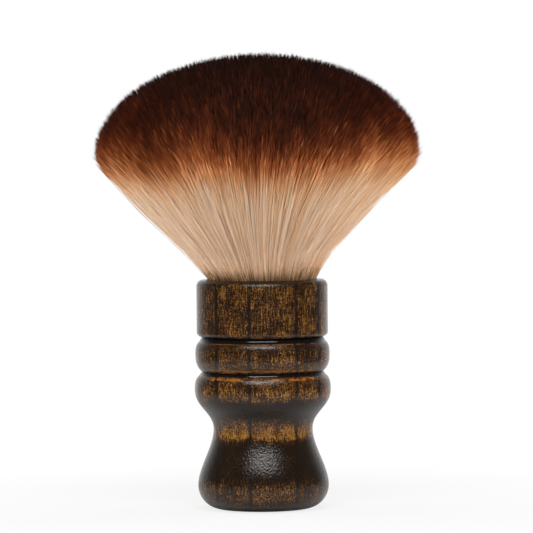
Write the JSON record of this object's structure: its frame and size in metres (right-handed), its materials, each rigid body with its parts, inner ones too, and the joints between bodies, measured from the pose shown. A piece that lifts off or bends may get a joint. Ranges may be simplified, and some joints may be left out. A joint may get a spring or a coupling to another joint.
{
  "type": "neck duster brush",
  "caption": "Free-standing barber's neck duster: a turned, stained wooden handle with a wide round dome of two-tone bristles.",
  "frame": {"origin": "centre of the flat round face that the handle stands on", "axes": "+Z along the handle's axis, up through the bristles; +X across the boards of the handle, to the right in front view; -Y faces the viewer"},
  "size_m": [0.104, 0.1033, 0.145],
  "materials": {
    "stained_wood": "dark stain with golden flecks under satin lacquer, blackened grooves",
    "cured_adhesive": "cured amber adhesive",
    "cast_resin": "cast potting resin",
    "binding_thread": "waxed polyester thread",
    "nylon_filament": "fine soft filaments, cream at the roots, red-brown to near black at the tips"
  },
  "bodies": {
    "root": {"handle_stave_left_outer": "stained_wood", "handle_stave_left": "stained_wood", "handle_stave_centre": "stained_wood", "handle_stave_right": "stained_wood", "handle_stave_right_outer": "stained_wood", "socket_adhesive": "cured_adhesive", "root_plug": "cast_resin", "binding_thread": "binding_thread", "bristles": "nylon_filament"}
  },
  "joints": []
}
